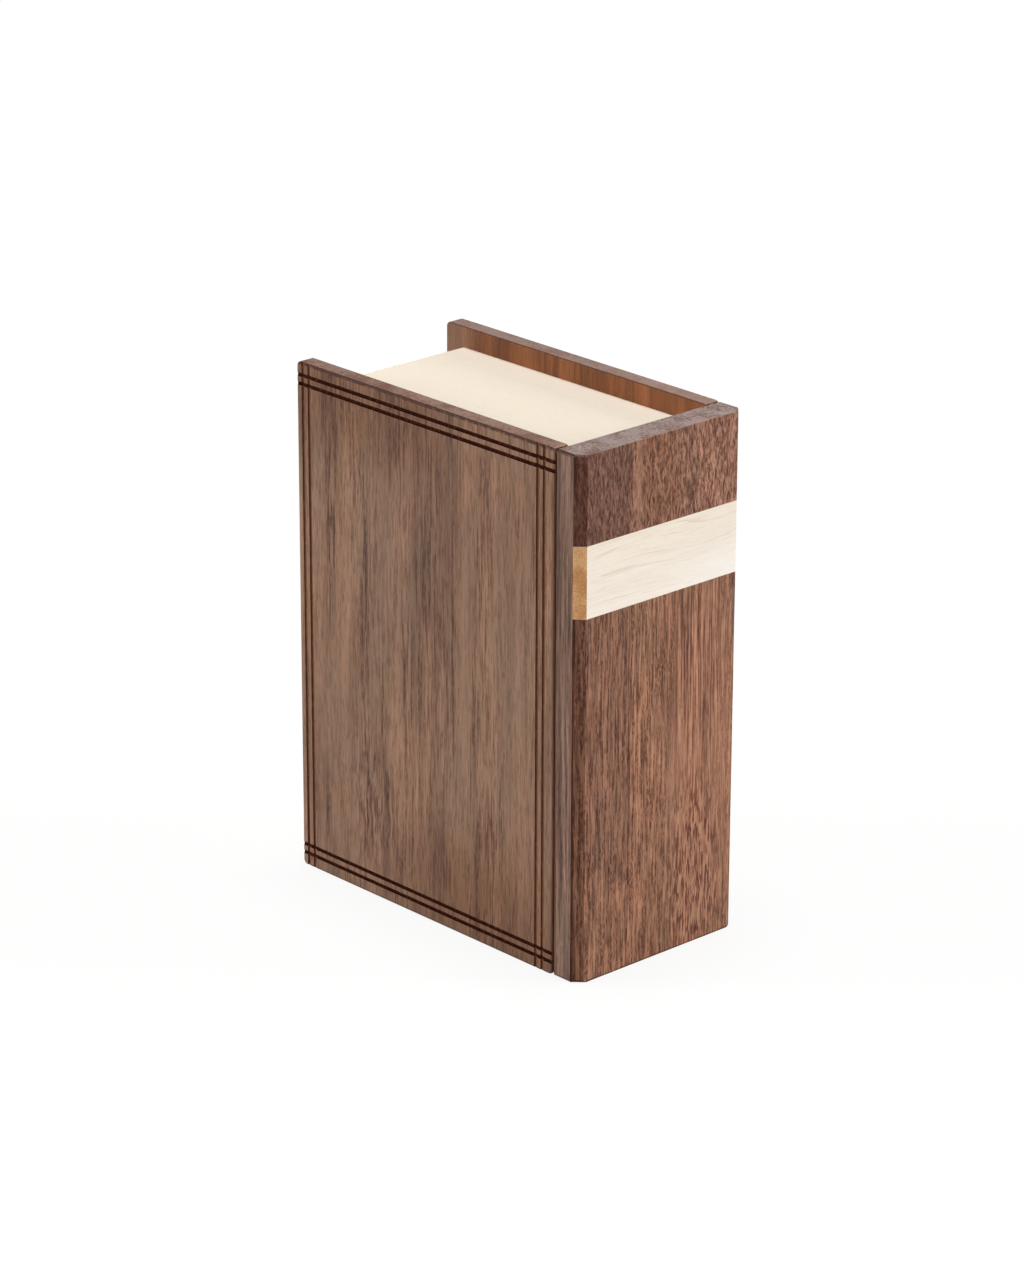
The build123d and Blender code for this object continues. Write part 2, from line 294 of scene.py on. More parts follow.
@dataclass(frozen=True)
class Figure:
    """How the grain of a board runs. Lengths are in millimetres.

    Attributes:
        pith: Where the log's centre lies from the object's origin, across the grain.
        ring: Mean width of a growth band.
        ring_share: How strongly the bands show.
        streaks: Width, length and strength of each size of soft streaks.
        drift: How far the grain strays, and over what length.
        curl: How far it waves within a short length, and that length.
        marks: The dark marks, from the largest to the pores.
        line_share: How strongly the late wood's thin lines show.
        zones: The parts that look different.
        swirl: Place and radius of a patch where the grain turns curly.
    """

    pith: tuple[float, float]
    ring: float
    ring_share: float
    streaks: tuple[tuple[float, float, float], ...]
    drift: tuple[float, float]
    curl: tuple[float, float]
    marks: tuple[Marks, ...]
    line_share: float = 0.0
    zones: tuple[Zone, ...] = ()
    swirl: tuple[float, float, float, float] | None = None


@dataclass(frozen=True)
class Wood:
    """A solid wood whose grain runs right through the board.

    Attributes:
        name: The material's name.
        grain: The axis of its fibres.
        figure: How the grain runs.
        tones: Its colours, from the dark late wood to the light early wood.
        veil: Colour of the greyer zones.
        veil_share: How strongly they show.
        shade: Colour that marks and streaks are multiplied with.
        end: Warm and cool colours of its end grain; on the walnut boards they carry a painted sheen, lighter
            and greyer than the wood.
        end_share: How far that colour covers an end.
        end_from: How far a face turns to the fibres before it counts as end grain.
        end_ease: How far to either side of that its colour fades in.
        end_specks: How many of its specks lie along a millimetre.
        end_roughness: How much rougher its end grain is.
        inner: Colour that the inner faces are multiplied with.
        inner_from: Where along X that colour starts, and where it is full, in millimetres.
        inner_least: How much of it there is before it starts.
        inner_bands: How far broad soft bands show on those faces.
        burnt: Height where each dark rim is darkest and height where it ends, in millimetres; the rim at the
            foot is painted contact shade.
        arris: Colour of the darkened broken edges and rims: painted shade at the feet, at the seams between
            boards, on the inner rims and on the chamfers, and a darker edge at the head.
        worn_highlight: Colour of edges painted light, partly rubbed light and partly painted highlight.
        roughness: Roughness of the finish.
        pore_roughness: How much rougher the open pores are.
        specular: Strength of its reflection.
        relief: Depth of the open pores, in millimetres.
    """

    name: str
    grain: Grain
    figure: Figure
    tones: Stops
    veil: Tone
    veil_share: float
    shade: Tone
    end: tuple[Tone, Tone]
    end_share: float = 0.7
    end_from: float = 0.75
    end_ease: float = 0.12
    end_specks: float = 1.0
    end_roughness: float = 0.4
    inner: Tone = (255, 209, 158)
    inner_from: tuple[float, float] = (-58.0, -42.0)
    inner_least: float = 0.2
    inner_bands: float = 0.45
    burnt: tuple[tuple[float, float], ...] = ()
    arris: Tone = (62, 30, 18)
    worn_highlight: Tone = (172, 130, 110)
    roughness: float = 0.4
    pore_roughness: float = 0.2
    specular: float = 0.16
    relief: float = 0.05

    def material(self) -> bpy.types.Material:
        """Build the material."""
        return WoodSheet(self).build()


class WoodSheet(NodeSheet):
    """The node tree of a wood, which knows the place in the board and in the log."""

    def __init__(self, wood: Wood) -> None:
        """Start the tree.

        Args:
            wood: The wood that it shows.
        """
        super().__init__(bpy.data.materials.new(wood.name))
        self.wood = wood
        self.where = self.add("ShaderNodeTexCoord").outputs
        scale = (1 / MM, 1 / MM, 1 / MM)
        turn = {"Scale": scale, "Rotation": wood.grain.value}
        self.plain = self.add("ShaderNodeMapping", Vector=self.where["Object"], **turn).outputs["Vector"]
        self.place = self._strayed()

    def build(self) -> bpy.types.Material:
        """Colour the wood and close the tree.

        Returns:
            The material, which reads object coordinates and the faces' attributes.
        """
        wood = self.wood
        inside, worn_highlight, broken = (
            self.add("ShaderNodeAttribute", {"attribute_name": name}).outputs["Fac"]
            for name in ("inner", "worn_highlight", "arris")
        )
        x, _, height = self.split(self.where["Object"])
        turned = self.split(self.where["Normal"])
        colour, pores = self._long_grain()
        fibres = self.math("ABSOLUTE", turned[wood.grain.axis])
        facing = self.spread(fibres, wood.end_from - wood.end_ease, wood.end_from + wood.end_ease)
        # End grain colour, which on the walnut tops carries a painted sheen.
        colour = self.mix(self.times(facing, wood.end_share), colour, self._end_grain())
        colour = self.mix(self.times(inside, wood.inner_bands), colour, self._soft_bands())
        start, full = (place * MM for place in wood.inner_from)
        inner_share = self.times(inside, self.spread(x, start, full, wood.inner_least))
        colour = self.mix(inner_share, colour, paint(wood.inner), "MULTIPLY")
        # Edges painted light: partly rubbed, partly painted highlight on the roundings that face the light.
        colour = self.mix(worn_highlight, colour, paint(wood.worn_highlight))
        # The arris attribute paints shade at the feet, at the seams between boards, on the inner rims and on
        # the spine's chamfers, and darkens the edges at the head.
        colour = self.mix(broken, colour, paint(wood.arris))
        aside = self.spread(self.math("ABSOLUTE", turned["Z"]), 0.86, 0.97, 1.0, 0.0)
        aside = self.times(aside, self.math("SUBTRACT", 1.0, inside))
        # Dark rims: painted contact shade at the foot, and a dark line just under the head.
        for rim in wood.burnt:
            share = self.times(self._rim(height, rim), aside)
            colour = self.mix(share, colour, paint(wood.arris))
        filled = self.math("SUBTRACT", 1.0, pores)
        bump = self.add("ShaderNodeBump", Height=filled, Strength=0.6, Distance=wood.relief * MM)
        rough = self.math("ADD", self.times(pores, wood.pore_roughness), wood.roughness)
        rough = self.math("ADD", rough, self.times(facing, wood.end_roughness))
        return self.finish(
            Base_Color=colour, Roughness=rough, Normal=bump.outputs["Normal"],
            Specular_IOR_Level=wood.specular, IOR=OIL_INDEX,
        )

    def _lumps(self, place: Socket, width: float, length: float, detail: float = 1.0) -> Socket:
        """Noise whose lumps have that width and length along the grain."""
        return self.noise(place, (LUMP / width, LUMP / width, LUMP / length), detail, rough=0.55)

    def _soft_bands(self) -> Socket:
        """Broad soft bands along the grain, for the faces that get no finish."""
        bands = self._lumps(self.plain, width=3.0, length=60.0)
        return self.ramp(self.spread(bands, 0.34, 0.66, 0.15, 0.85), self.wood.tones)

    def _end_grain(self) -> Socket:
        """Colour of the end grain, in fine specks and slow patches."""
        specks, patches = (self.noise(self.plain, (scale,) * 3) for scale in (self.wood.end_specks, 0.14))
        mean = self.times(self.math("ADD", specks, patches), 0.5)
        return self.mix(self.spread(mean, 0.42, 0.58), *(paint(tone) for tone in self.wood.end))

    def _rim(self, height: Socket, rim: tuple[float, float]) -> Socket:
        """Strength of a dark rim, broken here and there: painted contact shade at the foot, a dark line
        under the head.

        Args:
            height: Height above the base, in metres.
            rim: Where the rim is darkest and where it ends, in millimetres.

        Returns:
            The strength, from 0 to 1.
        """
        at_low = float(rim[0] < rim[1])
        level = self.spread(height, min(rim) * MM, max(rim) * MM, at_low, 1.0 - at_low)
        patches = self.noise(self.plain, (0.5, 0.5, 0.5))
        return self.times(level, self.spread(patches, 0.36, 0.55, 0.45))

    def _strayed(self) -> Socket:
        """Find the place in the log, moved by the grain's slow drift and its short curl.

        Returns:
            The place, in millimetres.
        """
        figure = self.wood.figure
        place = self.vector("ADD", self.plain, (*figure.pith, 0.0))
        for (reach, length), curls in ((figure.drift, False), (figure.curl, True)):
            scale = (1.0 / length, 1.0 / length, LUMP / length)
            lumps = self.noise(place, scale, detail=1.5, output="Color")
            centred = self.vector("SUBTRACT", lumps, (0.5, 0.5, 0.5))
            shift = self.vector("MULTIPLY", centred, (reach * 2, reach * 2, 0.0))
            if curls and figure.swirl:
                *centre, radius = figure.swirl
                distance = self.vector("LENGTH", self.vector("SUBTRACT", self.plain, tuple(centre)))
                growth = self.spread(distance, radius * 0.3, radius, 4.0, 1.0)
                shift = self.vector("MULTIPLY", shift, growth)
            place = self.vector("ADD", place, shift)
        return place

    def _marked(self, marks: Marks) -> Socket:
        """How strongly marks of one kind show.

        Args:
            marks: The kind of marks.

        Returns:
            The strength, from 0 to 1.
        """
        strength = self.spread(self._lumps(self.place, marks.width, marks.length), marks.low, marks.high)
        if marks.gathered:
            places = self._lumps(self.place, marks.width * 9, marks.length * 5)
            strength = self.times(strength, self.spread(places, 0.42, 0.6, 1.0 - marks.gathered))
        if marks.broken:
            gaps = self._lumps(self.place, marks.width * 0.7, marks.breaks)
            strength = self.times(strength, self.spread(gaps, 0.4, 0.56, 1.0 - marks.broken))
        return strength

    def _zoned(self, zone: Zone) -> Socket:
        """How far a zone changes the wood.

        Args:
            zone: The zone.

        Returns:
            The strength, from 0 to the zone's share.
        """
        x, y, z = zone.centre
        pith_x, pith_y = self.wood.figure.pith
        away = self.vector("SUBTRACT", self.place, (x + pith_x, y + pith_y, z))
        scaled = self.vector("MULTIPLY", away, tuple(1.0 / half for half in zone.reach))
        near = self.spread(self.vector("LENGTH", scaled), zone.tint.core, 1.0, zone.share, 0.0)
        return self.times(near, self._marked(zone.tint.marks)) if zone.tint.marks else near

    def _swung(self, total: object, lumps: Socket, share: float) -> Socket:
        """Swing a total up and down with a noise, by its share."""
        swing = self.times(self.math("SUBTRACT", lumps, 0.5), share * 2)
        return self.math("ADD", swing, total)

    def _long_grain(self) -> tuple[Socket, Socket]:
        """Colour the long grain.

        Returns:
            Its colour, and the strength of its pores.
        """
        wood, figure = self.wood, self.wood.figure
        flat = self.vector("MULTIPLY", self.place, (1.0, 1.0, 0.0))
        radius = self.math("DIVIDE", self.vector("LENGTH", flat), figure.ring)
        along = self.times(self.split(self.place)["Z"], 0.012)
        ring_place = self.add("ShaderNodeCombineXYZ", X=radius, Y=along).outputs["Vector"]
        bands = self.noise(ring_place, detail=1.0)
        tone = self._swung(0.5, bands, figure.ring_share)
        for width, length, share in figure.streaks:
            tone = self._swung(tone, self._lumps(self.place, width, length, detail=1.5), share)
        colour = self.ramp(tone, wood.tones)
        wider = self.vector("MULTIPLY", ring_place, (0.6, 1.4, 1.0))
        veils = self.noise(self.vector("ADD", wider, (9.0, 4.0, 2.0)))
        share = self.times(self.spread(veils, 0.4, 0.65), wood.veil_share)
        colour = self.mix(share, colour, paint(wood.veil))
        shares = []
        if figure.line_share:
            wander = self.math("ADD", radius, self.times(bands, 2.6))
            line = self.spread(self.math("FRACT", wander), 0.86, 0.98, 0.0, figure.line_share)
            faded = self.spread(self._lumps(self.place, width=1.6, length=8.0), 0.44, 0.56, 0.1)
            shares.append(self.times(line, faded))
        pores = 0.0
        for marks in figure.marks:
            pores = self._marked(marks)
            shares.append(self.times(pores, marks.share))
        for share in shares:
            colour = self.mix(share, colour, paint(wood.shade), "MULTIPLY")
        for zone in figure.zones:
            colour = self.mix(self._zoned(zone), colour, paint(zone.tint.tone), zone.tint.blend)
        return colour, pores


@dataclass(frozen=True)
class Scorched:
    """Wood that a hot tool has scorched.

    Attributes:
        name: The material's name.
        deep: Colour where the burn is deep.
        thin: Colour where it is thin.
        thin_share: How far that colour shows.
    """

    name: str
    deep: Tone
    thin: Tone
    thin_share: float

    def material(self) -> bpy.types.Material:
        """Build the material."""
        sheet = NodeSheet(bpy.data.materials.new(self.name))
        where = sheet.add("ShaderNodeTexCoord").outputs["Object"]
        specks = sheet.noise(where, (1.1 / MM, 1.1 / MM, 0.35 / MM))
        share = sheet.spread(specks, 0.5, 0.68, 0.0, self.thin_share)
        colour = sheet.mix(share, paint(self.deep), paint(self.thin))
        return sheet.finish(Base_Color=colour, Roughness=0.95, Specular_IOR_Level=0.04, IOR=OIL_INDEX)


@dataclass(frozen=True)
class Metal:
    """A turned or plated metal with fine rubbing marks.

    Attributes:
        name: The material's name.
        bright: Colour of the clean metal.
        dull: Colour where it is handled.
        roughness: Roughness of the clean metal.
        rubbed: How much rougher the rubbing marks are.
        mark: Width of the rubbing marks, in millimetres.
        relief: Their depth, in millimetres.
    """

    name: str
    bright: Tone
    dull: Tone
    roughness: float
    rubbed: float = 0.15
    mark: float = 0.4
    relief: float = 0.02

    def material(self) -> bpy.types.Material:
        """Build the material."""
        sheet = NodeSheet(bpy.data.materials.new(self.name))
        where = sheet.add("ShaderNodeTexCoord").outputs["Object"]
        fine = 1 / (MM * self.mark)
        marks = sheet.noise(where, (fine, fine, fine * 0.2), detail=3.0)
        clouds = sheet.noise(where, (fine * 0.1,) * 3)
        colour = sheet.mix(sheet.spread(clouds, 0.35, 0.7), paint(self.bright), paint(self.dull))
        rough = sheet.spread(marks, 0.3, 0.7, self.roughness, self.roughness + self.rubbed)
        bump = sheet.add("ShaderNodeBump", Height=marks, Strength=0.2, Distance=self.relief * MM)
        return sheet.finish(Base_Color=colour, Metallic=1.0, Roughness=rough, Normal=bump.outputs["Normal"])


THROUGH = 30.0
LENGTHWISE = 200.0


class Board(Enum):
    """A flat board: the axis through it and its place along that axis, in millimetres."""

    FRONT = (1, -30.0)
    BACK = (1, 30.0)
    FACING = (0, 59.0)

    def zones(self, rows: dict[Tint, tuple[tuple[float, ...], ...]]) -> tuple[Zone, ...]:
        """Place zones that go right through the board.

        Args:
            rows: For each tint its zones: the middle across and up, half the width, half the
                length, and the share.

        Returns:
            The zones.
        """
        axis, depth = self.value
        zones = []
        for tint, places in rows.items():
            for across, up, width, length, share in places:
                centre, reach = [across, up], [width, length]
                centre.insert(axis, depth)
                reach.insert(axis, THROUGH)
                zones.append(Zone(tuple(centre), tuple(reach), share, tint))
        return tuple(zones)


SMOKE = (166, 156, 148)
PLUM = (150, 138, 140)
HEATHER = (158, 152, 166)
RUST = (172, 108, 84)
GLOW = (166, 130, 106)
WARMTH = (226, 214, 200)
OPEN_PORE = (138, 92, 70)
PORES = Marks(width=0.26, length=3.0, low=0.51, high=0.63, share=0.36)
WISPS = Marks(width=0.5, length=9.0, low=0.47, high=0.58, broken=0.5, breaks=1.4)
CURLS = Marks(width=0.6, length=5.0, low=0.48, high=0.57, broken=0.4)
THREAD = Marks(width=0.7, length=30.0, low=0.4, high=0.52, broken=0.4)
FLECKS = Marks(width=0.42, length=3.4, low=0.48, high=0.56, broken=0.3)
LINES = Marks(width=0.34, length=26.0, low=0.48, high=0.55, broken=0.4, breaks=3.0)
SEAM = Marks(width=2.0, length=14.0, low=0.34, high=0.5)
LIT = Tint(GLOW, blend="MIX")
COVER_STREAKS = ((0.45, 9.0, 0.24), (1.6, 30.0, 0.3), (6.0, 80.0, 0.18))
COVER_MARKS = (
    Marks(width=0.6, length=16.0, low=0.51, high=0.59, share=0.62, gathered=1.0, broken=0.6),
    Marks(width=0.36, length=7.0, low=0.51, high=0.61, share=0.36, gathered=0.8, broken=0.5),
    PORES,
)
FRONT_FIGURE = Figure(
    pith=(150.0, 210.0), ring=7.0, ring_share=0.26, streaks=COVER_STREAKS,
    drift=(2.2, 90.0), curl=(0.3, 9.0), marks=COVER_MARKS,
    zones=(
        *Board.FRONT.zones({
            Tint(SMOKE): ((2.0, 115.0, 9.5, 62.0, 0.3), (-53.0, 35.0, 6.0, 32.0, 0.3)),
            Tint(SMOKE, core=0.1): ((-1.0, 20.0, 12.0, 22.0, 0.3),),
            Tint(marks=WISPS): (
                (2.0, 110.0, 7.0, 45.0, 0.3), (-45.5, 115.0, 3.2, 46.0, 0.8), (-31.0, 100.0, 2.4, 54.0, 0.8),
                (-14.0, 70.0, 1.4, 44.0, 0.7), (4.5, 21.0, 4.5, 16.0, 0.6),
            ),
            Tint(marks=THREAD): ((7.2, 83.0, 0.9, 50.0, 0.75),),
            Tint(marks=CURLS): ((-27.0, 32.0, 12.0, 32.0, 0.75),),
            Tint(RUST, WISPS): ((23.0, 34.0, 3.0, 20.0, 0.7),),
            Tint(RUST, THREAD): ((24.0, 120.0, 1.2, 24.0, 0.6),),
            LIT: (
                (12.5, 85.0, 3.4, 64.0, 0.3), (38.0, 90.0, 9.0, 60.0, 0.2),
                (-20.0, 100.0, 13.0, 36.0, 0.12), (-46.0, 60.0, 11.0, 32.0, 0.16),
            ),
            Tint((160, 134, 114), blend="MIX"): ((-59.6, 80.0, 1.6, LENGTHWISE, 0.3),),
        }),
        # Painted shade of the seam between the front cover and the spine, along the cover's edge.
        Zone((50.1, -32.2, 80.0), (1.4, 1.4, LENGTHWISE), 0.7, Tint((84, 46, 24), blend="MIX", core=0.2)),
        *Board.FRONT.zones({
            Tint(WARMTH, core=0.2): ((20.0, 6.0, 60.0, 40.0, 1.0), (-30.0, 158.0, 60.0, 34.0, 1.0)),
        }),
    ),
    swirl=(-28.0, -32.0, 30.0, 30.0),
)
BACK_FIGURE = Figure(
    pith=(-170.0, 190.0), ring=7.5, ring_share=0.26, streaks=COVER_STREAKS,
    drift=(2.2, 90.0), curl=(0.3, 9.0), marks=COVER_MARKS,
    zones=Board.BACK.zones({
        Tint(SMOKE): ((20.0, 70.0, 9.0, 70.0, 0.36),),
        Tint(marks=THREAD): ((12.0, 90.0, 0.9, 50.0, 0.75),),
        Tint(marks=WISPS): ((-20.0, 110.0, 4.0, 50.0, 0.65), (34.0, 40.0, 4.0, 46.0, 0.65)),
        LIT: ((-42.0, 50.0, 10.0, 70.0, 0.25),),
        Tint((214, 208, 202)): ((-36.0, 158.0, 26.0, 12.0, 0.7),),
        Tint(PLUM, core=0.4): ((-60.0, 150.0, 9.0, 40.0, 0.3),),
        Tint(core=0.5): (
            (-3.6, 156.0, 0.6, 30.0, 0.7), (28.1, 156.0, 0.5, 30.0, 0.6), (33.2, 156.0, 0.45, 30.0, 0.7),
        ),
        Tint(core=0.4): ((-16.0, 156.0, 1.1, 30.0, 0.5),),
        Tint((178, 138, 112), blend="MIX"): ((34.0, 158.0, 24.0, 12.0, 0.4),),
    }),
)
CORE_FIGURE = Figure(
    pith=(-60.0, 140.0), ring=5.0, ring_share=0.2, streaks=((0.6, 14.0, 0.7), (1.2, 40.0, 0.6)),
    drift=(1.2, 90.0), curl=(0.25, 8.0),
    marks=(
        Marks(width=0.5, length=18.0, low=0.49, high=0.59, share=0.7, gathered=0.5, broken=0.5),
        PORES,
    ),
    zones=(
        Zone((53.0, -32.0, 116.0), (3.0, THROUGH, 60.0), 0.26, Tint(SMOKE)),
        Zone((52.6, -32.0, 60.0), (2.4, THROUGH, 70.0), 0.35, Tint(marks=THREAD)),
        # Painted shade of the seam beside the front cover, along the core's edge.
        Zone((50.5, -32.2, 80.0), (1.4, 1.6, LENGTHWISE), 0.95, Tint((92, 50, 26), blend="MIX", core=0.4)),
    ),
)
CHAMFER_SEAMS = tuple(
    Zone((57.6, side, 80.0), (0.9, 0.9, LENGTHWISE), 0.9, Tint((120, 84, 66), SEAM, core=0.5))
    for side in (-32.2, 32.2)
)
UPPER_FIGURE = Figure(
    pith=(-120.0, 60.0), ring=6.0, ring_share=0.25,
    streaks=((0.42, 1.8, 0.54), (1.1, 4.0, 0.32), (5.0, 40.0, 0.12)),
    drift=(1.2, 40.0), curl=(0.6, 2.8),
    marks=(
        Marks(width=0.42, length=2.6, low=0.48, high=0.58, share=0.76, broken=0.6, breaks=0.7),
        Marks(width=0.26, length=1.2, low=0.5, high=0.6, share=0.6),
    ),
    zones=(
        *CHAMFER_SEAMS,
        *Board.FACING.zones({
            Tint(PLUM, core=0.85): ((-24.0, 146.0, 13.0, 60.0, 0.65),),
            Tint(WARMTH, core=0.4): ((-2.0, 146.0, 13.0, 60.0, 0.8),),
            LIT: ((-9.5, 146.0, 1.6, 24.0, 0.4),),
        }),
    ),
)
LOWER_FIGURE = Figure(
    pith=(-130.0, 75.0), ring=6.0, ring_share=0.14,
    streaks=((0.5, 8.0, 0.56), (1.2, 24.0, 0.24), (5.0, 90.0, 0.08)),
    drift=(1.0, 60.0), curl=(0.2, 5.0),
    marks=(
        Marks(width=0.48, length=12.0, low=0.48, high=0.56, share=0.8, broken=0.75, breaks=1.0),
        Marks(width=0.28, length=2.4, low=0.5, high=0.59, share=0.56, broken=0.4, breaks=0.7),
    ),
    zones=(
        *CHAMFER_SEAMS,
        Zone((57.9, -31.5, 0.0), (1.5, 1.5, 34.0), 0.7, Tint((126, 92, 74), core=0.5)),
        *Board.FACING.zones({
            Tint(HEATHER, core=0.4): ((-22.0, 84.0, 13.0, 80.0, 0.42),),
            Tint(marks=THREAD): ((-12.6, 56.0, 1.1, 90.0, 0.8),),
            Tint(RUST, THREAD): ((-27.0, 40.0, 2.0, 60.0, 0.6),),
            Tint(WARMTH): ((-2.0, 56.0, 13.0, 160.0, 0.2),),
            Tint((196, 142, 112), blend="MIX"): ((16.0, 56.0, 18.0, 100.0, 0.42),),
            Tint(OPEN_PORE, FLECKS): ((14.0, 22.0, 18.0, 50.0, 0.95),),
            Tint(OPEN_PORE, LINES): ((15.0, 88.0, 18.0, 56.0, 0.9),),
        }),
    ),
)
BAND_FIGURE = Figure(
    pith=(52.0, 200.0), ring=1.8, ring_share=0.06, streaks=((0.5, 14.0, 0.1), (1.2, 18.0, 0.07)),
    drift=(3.2, 44.0), curl=(0.2, 5.0),
    marks=(
        Marks(width=0.34, length=9.0, low=0.53, high=0.64, share=0.15, gathered=0.7, broken=0.4),
        Marks(width=0.25, length=2.5, low=0.56, high=0.7, share=0.14),
    ),
    line_share=0.34,
    zones=(
        Zone((60.0, -137.0, 0.0), (THROUGH, 17.0, 60.0), 0.4, Tint((250, 242, 232), core=0.2)),
        Zone((60.0, -112.0, 30.0), (THROUGH, 14.0, 40.0), 0.5, Tint((250, 247, 242), blend="MIX", core=0.1)),
    ),
)
BLOCK_FIGURE = Figure(
    pith=(90.0, 70.0), ring=6.0, ring_share=0.06, streaks=((1.6, 26.0, 0.05),),
    drift=(2.0, 70.0), curl=(0.1, 8.0), line_share=0.06,
    marks=(Marks(width=0.25, length=2.5, low=0.58, high=0.74, share=0.16),),
)

COVER_TONES = ((0.2, (100, 72, 56)), (0.5, (136, 102, 80)), (0.8, (158, 121, 97)))
CORE_TONES = ((0.2, (90, 66, 56)), (0.5, (129, 97, 81)), (0.8, (152, 117, 99)))
UPPER_TONES = ((0.2, (110, 74, 61)), (0.5, (162, 115, 93)), (0.8, (190, 141, 117)))
LOWER_TONES = ((0.2, (112, 75, 57)), (0.5, (162, 115, 88)), (0.8, (190, 138, 108)))
MAPLE_TONES = ((0.2, (228, 215, 200)), (0.5, (241, 231, 218)), (0.8, (247, 240, 231)))
PAGE_TONES = ((0.2, (229, 216, 197)), (0.5, (237, 225, 207)), (0.8, (241, 230, 214)))
# Colour of the facings' darkened edges: painted shade on their chamfers and at their foot.
SHADED_CHAMFER = (74, 28, 10)
# Walnut end colours, lightened and greyed by a painted sheen of reflected light.
FRONT_ENDS_WITH_SHEEN = ((110, 83, 72), (146, 121, 110))
BACK_ENDS_WITH_SHEEN = ((133, 109, 100), (151, 130, 124))
CORE_ENDS_WITH_SHEEN = ((119, 99, 92), (163, 149, 146))
BAND_ENDS = ((204, 144, 86), (237, 187, 136))
PAGE_ENDS = ((214, 182, 142), (230, 202, 166))
# The rim at the foot is painted contact shade; the other rim is a dark line under the head.
SHADED_FOOT_RIM = ((0.2, 0.75),)
HEAD_AND_SHADED_FOOT_RIMS = ((0.25, 0.75), (159.35, 158.9))


def walnut(name: str, figure: Figure, tones: Stops, **changes: object) -> Wood:
    """Describe a walnut board.

    Args:
        name: The material's name.
        figure: How its grain runs.
        tones: Its colours, from dark to light.
        changes: Fields that differ from the usual board's.

    Returns:
        The wood.
    """
    fields = {
        "veil": (122, 102, 84), "veil_share": 0.35, "shade": (142, 104, 82),
        "end": FRONT_ENDS_WITH_SHEEN, "burnt": SHADED_FOOT_RIM,
    }
    return Wood(name, Grain.ALONG_Z, figure, tones, **{**fields, **changes})


def maple(name: str, grain: Grain, figure: Figure, tones: Stops, **changes: object) -> Wood:
    """Describe a maple board, as walnut does, whose fibres run along the grain's axis."""
    fields = {
        "veil": (232, 221, 206), "veil_share": 0.3, "shade": (212, 192, 168),
        "end": PAGE_ENDS, "arris": (205, 170, 125), "relief": 0.02,
    }
    return Wood(name, grain, figure, tones, **{**fields, **changes})


class Finishes:
    """The finishes, each made once and kept by name."""

    def __init__(self) -> None:
        """Build every material of the box."""
        facing = {"veil_share": 0.2, "end": CORE_ENDS_WITH_SHEEN, "arris": SHADED_CHAMFER}
        finishes = (
            walnut("walnut_front", FRONT_FIGURE, COVER_TONES, burnt=HEAD_AND_SHADED_FOOT_RIMS),
            walnut("walnut_back", BACK_FIGURE, COVER_TONES, end=BACK_ENDS_WITH_SHEEN, burnt=HEAD_AND_SHADED_FOOT_RIMS),
            walnut("walnut_core", CORE_FIGURE, CORE_TONES, end=CORE_ENDS_WITH_SHEEN, burnt=HEAD_AND_SHADED_FOOT_RIMS),
            walnut("walnut_upper", UPPER_FIGURE, UPPER_TONES, burnt=(), **facing),
            walnut("walnut_lower", LOWER_FIGURE, LOWER_TONES, **facing),
            maple(
                "maple_band", Grain.ALONG_Y, BAND_FIGURE, MAPLE_TONES,
                end=BAND_ENDS, end_share=1.0, end_from=0.5, end_specks=3.0, end_roughness=0.0,
            ),
            maple("maple_pages", Grain.ALONG_X, BLOCK_FIGURE, PAGE_TONES, roughness=0.7, specular=0.05),
            maple("maple_upright", Grain.ALONG_Z, BLOCK_FIGURE, PAGE_TONES),
            maple("beech", Grain.ALONG_Z, BLOCK_FIGURE, PAGE_TONES, veil=(206, 172, 136), veil_share=1.0),
            Metal("brass", (214, 178, 104), (176, 138, 76), 0.26),
            Metal("nickel", (205, 203, 198), (178, 176, 172), 0.2),
            Scorched("scorched_along", (110, 72, 50), (138, 98, 74), 0.45),
            Scorched("scorched_across", (48, 19, 8), (98, 58, 40), 0.4),
        )
        self.by_name = {item.name: item.material() for item in finishes}

    def __getitem__(self, name: str) -> bpy.types.Material:
        """The material of that name."""
        return self.by_name[name]


def cuboid(low: Vector, high: Vector) -> BMesh:
    """Start a board as a cuboid.

    Args:
        low: Its lowest corner.
        high: Its highest corner.

    Returns:
        The mesh.
    """
    bm = bmesh.new()
    bmesh.ops.create_cube(bm, size=1.0)
    bmesh.ops.scale(bm, vec=high - low, verts=bm.verts)
    bmesh.ops.translate(bm, vec=(low + high) / 2, verts=bm.verts)
    return bm


def ease(bm: BMesh, picks: Callable[[Edge], bool], width: float, segments: int = 2) -> None:
    """Take the sharpness off some edges.

    Args:
        bm: The mesh.
        picks: Whether an edge is one of them.
        width: How far the cut reaches from the edge, in millimetres.
        segments: How many flats make the round.
    """
    bmesh.ops.bevel(
        bm, geom=[e for e in bm.edges if picks(e)], offset=width * MM, offset_type="OFFSET",
        segments=segments, profile=0.5, affect="EDGES", material=-1, clamp_overlap=True,
    )


def is_sharp(edge: Edge) -> bool:
    """Whether an edge's two faces meet at a clear angle."""
    return edge.is_manifold and edge.calc_face_angle(0.0) > SHARP_ANGLE


def along(edge: Edge, axis: int) -> float:
    """How far an edge runs along an axis, from 0 to 1."""
    return abs((edge.verts[0].co - edge.verts[1].co).normalized()[axis])


def lies_at(edge: Edge, axis: int, place: float) -> bool:
    """Whether a whole edge has that place along an axis."""
    return all(abs(v.co[axis] - place) < NEAR for v in edge.verts)


